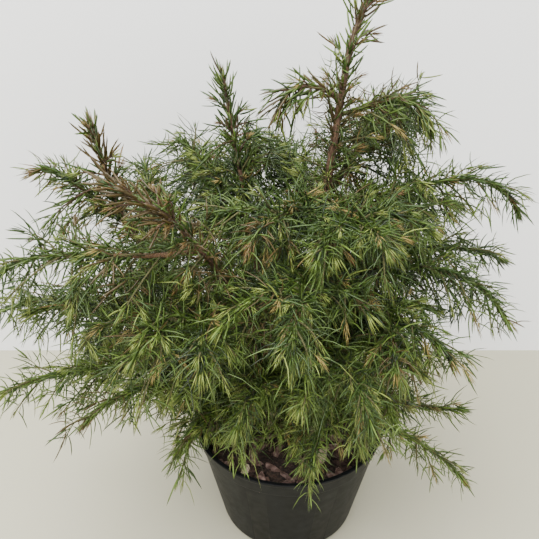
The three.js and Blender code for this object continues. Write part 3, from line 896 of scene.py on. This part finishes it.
def soil_height(x, y):
    """Height of the soil's surface in millimetres: a low mound with lumps."""
    reach = np.hypot(x, y)
    fall = (reach - MOUND_RADIUS) / (wall_radius(SOIL_TOP) - MOUND_RADIUS)
    lumps = (np.sin(x * 0.21 + 1.3) * np.sin(y * 0.17 + 0.4) * 1.2
             + np.sin(x * 0.53 + y * 0.31) * np.sin(y * 0.47 - x * 0.22 + 2.0) * 0.8)
    return (SOIL_TOP - SOIL_EDGE_DROP * np.clip(fall, 0, 1)
            + lumps * np.clip((reach - LUMPS_FROM) / LUMPS_WITHIN, 0, 1))


def make_soil():
    edge = wall_radius(SOIL_TOP) - POT_WALL - SOIL_GAP
    reach = np.linspace(0, 1, SOIL_RINGS)[1:, None] ** SOIL_CROWDING * edge
    turn = corner_angles(SOIL_SIDES)
    x, y = reach * np.cos(turn), reach * np.sin(turn)
    grain = np.random.default_rng(GRAIN_SEED).normal(0, GRAIN, x.shape)
    z = soil_height(x, y) + grain * np.clip(reach / GRAIN_WITHIN - GRAIN_FROM, 0, 1)
    foot_edge = wall_radius(POT_FLOOR) - POT_WALL - SOIL_FOOT_GAP
    foot_height = POT_FLOOR + SOIL_FOOT_LIFT
    foot = places(foot_edge * np.cos(turn), foot_edge * np.sin(turn), foot_height)
    points = np.concatenate([places(x, y, z).reshape(-1, 3), foot,
                             [[0, 0, SOIL_TOP], [0, 0, foot_height]]])
    faces = turned_faces(SOIL_RINGS, SOIL_SIDES)[:, ::-1]
    potting_mix = ground_material("potting_mix", (0.030, 0.018, 0.012), (0.075, 0.045, 0.030),
                                  scale=420, depth=0.001)
    soil = make_piece("soil_surface", points, faces, potting_mix)
    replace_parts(soil, "soil")


# What lies on the soil: name, count, half lengths, colours and seed of each kind of slab

SLAB_KINDS = (
    ("bark_chips_dark", 150, (2.5, 7), (0.050, 0.026, 0.018), (0.12, 0.07, 0.05), 3),
    ("bark_chips_pink", 70, (3, 10), (0.13, 0.075, 0.058), (0.30, 0.20, 0.165), 4),
    ("wood_chips_pale", 9, (6, 12), (0.42, 0.33, 0.22), (0.62, 0.52, 0.38), 5),
    ("soil_crumbs", 900, (0.8, 2.2), (0.024, 0.014, 0.010), (0.06, 0.036, 0.026), 6))
SLAB_CORNERS = 8
SLAB_NEAREST = 0.02
SLAB_FROM_WALL = 7
SLAB_RADII = (0.72, 1.15)
SLAB_WIDTHS = (0.3, 0.6)
SLAB_TILT = 0.22
SLAB_THICKNESS = (0.14, 0.3)
SLAB_UNEVEN = (0.8, 1.3)
SLAB_SUNK = 0.4
SLAB_RAISED = 0.5
SLAB_SHOULDER = 0.7
SLAB_TOP = 0.86


def make_slabs(name, count, sizes, dark, light, seed):
    """Small rough slabs lying on the soil, with uneven outlines and bevelled tops."""
    draw = np.random.default_rng(seed)
    each = (count, 1)
    reach = np.sqrt(draw.uniform(SLAB_NEAREST, 1, each)) * (wall_radius(SOIL_TOP) - SLAB_FROM_WALL)
    turn = draw.uniform(0, 2 * math.pi, each)
    middle_x, middle_y = reach * np.cos(turn), reach * np.sin(turn)
    half = draw.uniform(*sizes, each)
    around = corner_angles(SLAB_CORNERS)
    radius = draw.uniform(*SLAB_RADII, (count, SLAB_CORNERS)) * half
    along = np.cos(around) * radius
    over = np.sin(around) * radius * draw.uniform(*SLAB_WIDTHS, each)
    facing = draw.uniform(0, math.pi, each)
    x = along * np.cos(facing) - over * np.sin(facing) + middle_x
    y = along * np.sin(facing) + over * np.cos(facing) + middle_y
    tilt = draw.normal(0, SLAB_TILT, (count, 2))
    thick = half * draw.uniform(*SLAB_THICKNESS, each)
    ground = (soil_height(middle_x, middle_y) + (x - middle_x) * tilt[:, :1]
              + (y - middle_y) * tilt[:, 1:])
    low = ground - SLAB_SUNK
    high = ground + thick * draw.uniform(*SLAB_UNEVEN, (count, SLAB_CORNERS)) + SLAB_RAISED
    rings = [places(x, y, low), places(x, y, mix(low, high, SLAB_SHOULDER)),
             places(mix(middle_x, x, SLAB_TOP), mix(middle_y, y, SLAB_TOP), high)]
    faces = repeated(tube_faces(len(rings), SLAB_CORNERS), count, len(rings) * SLAB_CORNERS)
    make_piece(name, np.concatenate(rings, 1).reshape(-1, 3), faces,
               ground_material(name, dark, light, scale=260, depth=0.0008), smooth=False)


make_soil()
for kind in SLAB_KINDS:
    make_slabs(*kind)


# Bark: trunk, stems and boughs. Furrows are waves round a limb: how many, how fast along it and
# from where they wander, how far, their shift and their depth. Cracks slant round it.

BARK_EVERY = 1.6
LEAST_RINGS = 8
FURROWS = ((4.5, 0.13, 0.0, 1.2, 0.0, 1.0), (8, 0.31, 1.0, 1.6, 0.7, 0.6))
CRACK_PACE = 1.1
CRACK_WAVES = 3
CRACK_DEPTH = 0.5


def bark_tube(path, end, radii, sides, ridge, flare=False):
    """A limb's wood from its foot to a share of its length, with ridges of so much relief."""
    rings = max(int(path.length * end / BARK_EVERY), LEAST_RINGS)
    share = np.linspace(0, end, rings)
    centre = path.at(share)
    turn = corner_angles(sides)
    along = (share * path.length)[:, None]
    relief = CRACK_DEPTH * np.sin(along * CRACK_PACE + turn * CRACK_WAVES)
    for waves, pace, start, wander, shift, depth in FURROWS:
        bend = np.sin(along * pace + start) * wander
        relief = relief + depth * np.abs(np.sin(turn * waves + bend + shift))
    radius = mix(*radii, share)[:, None] * (1 + ridge * (relief - 1))
    if flare:
        height = centre[:, 2:] - SOIL_TOP
        lobes = 1 + FLARE_LOBE_SHARE * np.cos(FLARE_LOBES * turn)
        radius = radius + FLARE * np.exp(-height / FLARE_HEIGHT) * lobes
    points = tube_points(centre[None], path.tangent(share)[None], radius[None])
    return points, tube_faces(rings, sides)


bark_brown = bark_material("bark_brown", (0.078, 0.040, 0.021), (0.155, 0.092, 0.050), scale=900)
bark_red = bark_material("bark_red", (0.100, 0.050, 0.022), (0.19, 0.11, 0.05), scale=1200)

trunk, *others = stems.values()
trunk_points, trunk_faces = bark_tube(trunk["path"], trunk["wood"], trunk["radii"], sides=40,
                                      ridge=0.05, flare=True)
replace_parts(make_piece("bark_trunk", trunk_points, trunk_faces, bark_brown), "trunk")
stem_points, stem_faces = joined([
    bark_tube(stem["path"], stem["wood"], stem["radii"], sides=20, ridge=0.045)
    for stem in others])
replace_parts(make_piece("bark_stems", stem_points, stem_faces, bark_brown),
            "stem_middle", "stem_left", "stem_front")
bough_points, bough_faces = joined([
    bark_tube(mass["path"], BOUGH_SHARE, mass["radii"], sides=12, ridge=0.04)
    for mass in masses if mass["start"] == BOUGH_SHARE])
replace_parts(make_piece("bark_boughs", bough_points, bough_faces, bark_red),
            *["bough_" + name for name in BOUGHS])


# Foliage, gathered for each side of the crown

SIDES = ("right", "left", "front", "back", "tips", "inner")
FEWEST_NEEDLES = 2
FIRST_NEEDLE = 0.7
FACES_A_RING = 6

open_columns = {side: [] for side in SIDES}
tuft_columns = {side: [] for side in SIDES}
woody = {side: [] for side in SIDES}
green = {side: [] for side in SIDES}
members = {side: [] for side in SIDES}


def side_of(mass):
    """Which part of the crown a mass belongs to."""
    name = mass["name"].replace("foliage_", "")
    for side in SIDES[:4]:
        if name.startswith(side) and not name.endswith("tip"):
            return side
    return "tips"


def tube_batch(curve, radii, rings, sides):
    share = np.linspace(0, 1, rings)
    paths = np.stack([curve_points(curve, s) for s in share], 1)
    return tubes(paths, np.broadcast_to(mix(*radii, share), paths.shape[:2]), sides)


def open_rows(index, foot, tangent, to_tip, tint, needle, size=1):
    """Open needles at points along twigs: columns of foot, tangent, length and so on."""
    full_length, angles, half_width = needle
    order = np.arange(len(foot))
    near = np.clip(1 - to_tip / FORWARD_REACH, 0, 1)
    length = full_length * size * mix(*NEEDLE_SIZES, chance(index, order, 31))
    length = length * mix(1, FORWARD_SIZE, near)
    angle = mix(*angles, near) * mix(*NEEDLE_LEANS, chance(index, order, 32))
    turn = order * GOLDEN_ANGLE + chance(index, order, 33) * NEEDLE_TURNS
    width = half_width * size * mix(*NEEDLE_WIDTHS, chance(index, order, 34))
    bend = mix(*NEEDLE_BENDS, chance(index, order, 36))
    return foot, tangent, length, angle, turn, width, bend, tint


def tuft_rows(index, curve, lengths, tint, size=1):
    """Short needles that fan forward round the tips of curves."""
    count = len(lengths)
    step = np.tile(np.arange(TUFT_COUNT), count)
    owner = np.repeat(np.arange(count), TUFT_COUNT)
    outward = step / (TUFT_COUNT - 1)
    share = 1 - (1 - outward) * np.minimum(TUFT_LENGTH / lengths[owner], TUFT_MOST_SHARE)
    axis = kept(curve, owner)
    length = size * mix(*TUFT_NEEDLE, outward) * mix(*TUFT_SIZES, chance(index, owner, 43))
    angle = mix(*TUFT_ANGLES, outward)
    turn = step * GOLDEN_ANGLE + owner
    width = np.full(len(owner), TUFT_HALF_WIDTH * size)
    return (curve_points(axis, share), curve_tangents(axis, share), length, angle, turn, width,
            np.full(len(owner), TUFT_BEND), tint[owner])


def rows_on_curves(index, curve, lengths, elements, needle, pale_tufts):
    """The open needles and the tufts of some shoots or twigs."""
    body = body_tints(curve[2], chance(index, elements, 41))
    brush = np.where(chance(index, elements, 45) < pale_tufts,
                     brush_tints(curve[2], chance(index, elements, 42)), body)
    counts = np.maximum((lengths / NEEDLE_EVERY).astype(int), FEWEST_NEEDLES)
    owner = np.repeat(np.arange(len(lengths)), counts)
    step = steps_of(counts)
    share = (step + FIRST_NEEDLE) / (counts[owner] + 1)
    axis = kept(curve, owner)
    to_tip = (1 - share) * lengths[owner]
    late = (chance(index, owner * NEEDLE_NUMBERS + step, 35)
            < np.clip(LATE_SHARE - to_tip / LATE_REACH, 0, 1))
    fresh_end = np.where(brush == TINT_NAMES.index("straw"), TINT_NAMES.index("light"), brush)
    tint = np.where(late, fresh_end[owner], body[owner])
    wide = open_rows(index, curve_points(axis, share), curve_tangents(axis, share), to_tip, tint,
                     needle)
    return wide, tuft_rows(index, curve, lengths, brush, LOW_TUFT_SIZE if needle is LOW_NEEDLE else 1)


def rows_on_path(index, path, start, end, every, needle, size=1):
    """Open needles along a limb or stem."""
    count = max(int(path.length * (end - start) / every), FEWEST_NEEDLES)
    order = np.arange(count)
    where = mix(start, end, (order + 0.5) / count)
    foot = path.at(where)
    tint = body_tints(foot, chance(index, order // TINT_RUN, 51))
    return open_rows(index, foot, path.tangent(where), (1 - where) * path.length, tint, needle, size)


def needle_for(side, lowest):
    """The kind of open needle for a side of the crown and a mass's lowest height."""
    if side in ("right", "left"):
        return ARM_NEEDLE
    if side == "front" and lowest != LOWEST_SHOOT:
        return LOW_NEEDLE
    return OPEN_NEEDLE


def clothe(side, index, path, first, last, spreads, lowest=LOWEST_SHOOT, **rule):
    """Shoots along a limb, with twigs, open needles and tufts, for one side of the crown."""
    shoots, lengths, numbers = shoots_along(index, path, first, last, spreads, lowest, **rule)
    if not len(numbers):
        return
    woody[side].append(tube_batch(shoots, SHOOT_RADII, rings=5, sides=4))
    if side == "tips":
        groups = [(shoots, lengths, numbers, TIP_NEEDLE, 1)]
    else:
        twigs, twig_lengths, twig_numbers = twigs_of(index, shoots, lengths, numbers, lowest)
        green[side].append(tube_batch(twigs, TWIG_RADII, rings=4, sides=3))
        needle = needle_for(side, lowest)
        groups = [(shoots, lengths, numbers, needle, 1),
                  (twigs, twig_lengths, twig_numbers, needle, PALE_TWIGS)]
    for group in groups:
        wide, tuft = rows_on_curves(index, *group)
        open_columns[side].append(wide)
        tuft_columns[side].append(tuft)


def dress_axis(side, index, path, start, radii, size=1):
    """A limb's own wood, the needles along it and the tuft at its tip."""
    share = np.linspace(start, 1, LIMB_RINGS)
    woody[side].append(tubes(path.at(share)[None], mix(*radii, share)[None], sides=8))
    sheathed = max(start, SHEATH_START)
    if side == "tips":
        along = rows_on_path(index, path, start - STOUT_BEFORE, 1, STOUT_EVERY, STOUT_NEEDLE)
    else:
        along = rows_on_path(index, path, sheathed, 1, LIMB_NEEDLE_EVERY, LIMB_NEEDLE, size)
    open_columns[side].append(along)
    sheath = rows_on_path(index, path, sheathed, 1, SHEATH_EVERY, SHEATH_NEEDLE, size)
    tuft_columns[side].append(sheath)
    end_curve = tuple(path.at(np.array([1 - back])) for back in (END_TUFT_SHARE, END_TUFT_SHARE / 2, 0))
    tuft_columns[side].append(tuft_rows(index, end_curve, np.array([path.length * END_TUFT_SHARE]),
                                        brush_tints(end_curve[2], chance(index, [0], 44)),
                                        END_TUFT_SIZE * size))


def grow_forks(side, index, path, lowest):
    """The side limbs that leave a limb at the front, with their shoots."""
    for number, (at, turn) in enumerate(FORKS):
        fork_index = FORK_NUMBERS + len(FORKS) * index + number
        length = mix(*FORK_LENGTHS, chance(fork_index, [0], 61))
        curve = grow(path.at([at]), path.tangent([at]), length, FORK_ANGLE, turn, SHOOT_LIFT,
                     FORK_SAG)
        side_limb = Path(curve_points(curve, np.linspace(0, 1, FORK_STEPS)))
        dress_axis(side, fork_index, side_limb, 0, FORK_RADII)
        clothe(side, fork_index, side_limb, FORK_BARE_SHARE, 1 - BARE_END / side_limb.length,
               FORK_SPREADS, lowest)


def series_of(mass, side):
    """The series of shoots that a mass has between the source's."""
    if mass["name"] == "foliage_leader":
        return ()
    if side == "back":
        return BETWEEN_AT_BACK
    return BETWEEN if mass["on_stem"] else BETWEEN_ON_ARMS


def grow_mass(mass):
    """A mass of foliage on its own stem, in the source's rule."""
    side = side_of(mass)
    index, path, lowest = mass["index"], mass["path"], mass["lowest"]
    members[side].append(mass["name"])
    dress_axis(side, index, path, mass["start"], mass["radii"], min(1, mass["spread"] / FULL_SPREAD))
    if side == "front" and lowest:
        grow_forks(side, index, path, lowest)
    first = BARE_SHARE if mass["on_stem"] else mass["start"] + BARE_START
    open_from = 1 if mass["on_stem"] else ARM_OPEN
    for between in (SOURCE_SERIES, *series_of(mass, side)):
        clothe(side, index, path, first, 1 - BARE_END / path.length, (mass["spread"], LAST_SHOOT),
               lowest, between=between, open_from=open_from)


def grow_on_bough(mass):
    """Needles and inner shoots on the bare bough that bears a mass."""
    side, index, path = side_of(mass), BOUGH_NUMBERS + mass["index"], mass["path"]
    along = rows_on_path(index, path, BOUGH_NEEDLE_FROM, BOUGH_SHARE, BOUGH_NEEDLE_EVERY,
                         BOUGH_NEEDLE)
    open_columns[side].append(along)
    clothe(side, index, path, BOUGH_BARE_SHARE, BOUGH_SHARE, BOUGH_SPREADS, **INNER_RULE)


def grow_on_stem(index, path, wood):
    """Needles and inner shoots on the trunk or a stem."""
    needles_from, shoots_from = (float(path.share_at_height(height))
                                 for height in (STEM_NEEDLE_FROM, INNER_FROM))
    along = rows_on_path(index, path, needles_from, wood, STEM_NEEDLE_EVERY, STEM_NEEDLE)
    open_columns["inner"].append(along)
    clothe("inner", index, path, shoots_from, wood, INNER_SPREADS, **INNER_RULE)


for mass in masses:
    grow_mass(mass)
for mass in masses:
    if mass["start"] == BOUGH_SHARE:
        grow_on_bough(mass)
for number, stem in enumerate(stems.values()):
    grow_on_stem(STEM_NUMBERS + number, stem["path"], stem["wood"])

needle_materials = {tint: needle_material(tint) for tint in TINTS}
twig_brown = bark_material("twig_brown", (0.058, 0.031, 0.016), (0.115, 0.065, 0.034), scale=1500)
twig_olive = bark_material("twig_olive", (0.055, 0.055, 0.014), (0.11, 0.09, 0.03), scale=1500)
twig_green = bark_material("twig_green", (0.055, 0.080, 0.014), (0.11, 0.12, 0.03), scale=1500)


def columns_of(parts):
    """The parts' columns joined, without the needles that would cut the pot or the soil."""
    columns = [np.concatenate(column) for column in zip(*parts)]
    tips = columns[0] + leaning(columns[1], columns[3], columns[4]) * columns[2][:, None]
    free = clears_pot(tips, NEEDLE_MARGIN)
    return [column[free] for column in columns]


def make_needles(kind, side, parts, rings):
    """Pieces of needles or tufts on one side of the crown, apart by tint."""
    columns = columns_of(parts)
    most = MOST_FACES // (FACES_A_RING * len(rings))
    for number, tint_name in enumerate(TINT_NAMES):
        chosen = np.flatnonzero(columns[-1] == number)
        for chunk, begin in enumerate(range(0, len(chosen), most)):
            use = chosen[begin:begin + most]
            points, faces = needles(rings, *[column[use] for column in columns[:-1]])
            make_piece(f"{kind}_{side}_{tint_name}_{chunk + 1}", points, faces,
                       needle_materials[tint_name])


def make_twigs(kind, side, meshes, material):
    """One piece of twigs on one side of the crown, in place of its masses."""
    points, faces = joined(meshes)
    piece = make_piece(f"twigs_{side}_{kind}", points, faces, material)
    if members[side]:
        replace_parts(piece, *members[side])


for side in SIDES:
    make_needles("needles", side, open_columns[side], PLAIN_RINGS if side == "inner" else NEEDLE_RINGS)
    make_needles("tufts", side, tuft_columns[side], TUFT_RINGS)
    make_twigs("woody", side, woody[side], twig_brown if side == "tips" else twig_olive)
    if green[side]:
        make_twigs("green", side, green[side], twig_green)


# Camera at the photograph's viewpoint, floor, backdrop and soft light

PHOTO_SIZE = 539
FOCAL_PIXELS = 650
SENSOR = 36
CAMERA_PLACE = (-0.018, -0.463, 0.512)
CAMERA_PITCH = 28.6

camera_data = bpy.data.cameras.new("camera")
camera_data.sensor_width = SENSOR
camera_data.lens = SENSOR * FOCAL_PIXELS / PHOTO_SIZE
camera = add_object("camera", camera_data)
camera.location = CAMERA_PLACE
camera.rotation_euler = (math.radians(90 - CAMERA_PITCH), 0, 0)
bpy.context.scene.camera = camera

WALL_Y = 0.25
STAGE_HALF = 3.0


def stage_plane(name, near, far, material):
    """A plane between two edges across the view, each given by its y and z."""
    mesh = bpy.data.meshes.new(name)
    mesh.from_pydata([(-STAGE_HALF, *near), (STAGE_HALF, *near), (STAGE_HALF, *far),
                      (-STAGE_HALF, *far)], [], [(0, 1, 2, 3)])
    mesh.materials.append(material)
    plane = add_object(name, mesh)


floor_material, _, _ = new_material("pale_table", (0.41, 0.39, 0.285), roughness=0.6)
wall_material, wall_tree, wall_shader = new_material("pale_wall", (0.90, 0.90, 0.89), roughness=0.9)
# The backdrop shows from its front only, so that it hides nothing from behind
back_side = wall_tree.nodes.new("ShaderNodeNewGeometry")
clear = wall_tree.nodes.new("ShaderNodeBsdfTransparent")
either = wall_tree.nodes.new("ShaderNodeMixShader")
link(wall_tree, back_side, "Backfacing", either, "Fac")
link(wall_tree, wall_shader, "BSDF", either, 1)
link(wall_tree, clear, "BSDF", either, 2)
link(wall_tree, either, "Shader", wall_tree.nodes["Material Output"], "Surface")

stage_plane("floor", (-STAGE_HALF, 0), (STAGE_HALF, 0), floor_material)
stage_plane("backdrop", (WALL_Y, 0), (WALL_Y, STAGE_HALF), wall_material)


def soft_light(name, place, size, power, aim=(0, 0, 0.2)):
    light = bpy.data.lights.new(name, "AREA")
    light.size = size
    light.energy = power
    lamp = add_object(name, light)
    lamp.location = place
    lamp.rotation_euler = (Vector(aim) - Vector(place)).to_track_quat("-Z", "Y").to_euler()


soft_light("key", place=(-0.4, -0.5, 1.7), size=1.6, power=92)
soft_light("fill", place=(0.5, -1.2, 0.5), size=1.2, power=11)

world = bpy.data.worlds.new("soft_room")
bpy.context.scene.world = world
world.use_nodes = True
sky = world.node_tree.nodes["Background"]
sky.inputs["Color"].default_value = (0.97, 0.98, 1.0, 1)
sky.inputs["Strength"].default_value = 1.12
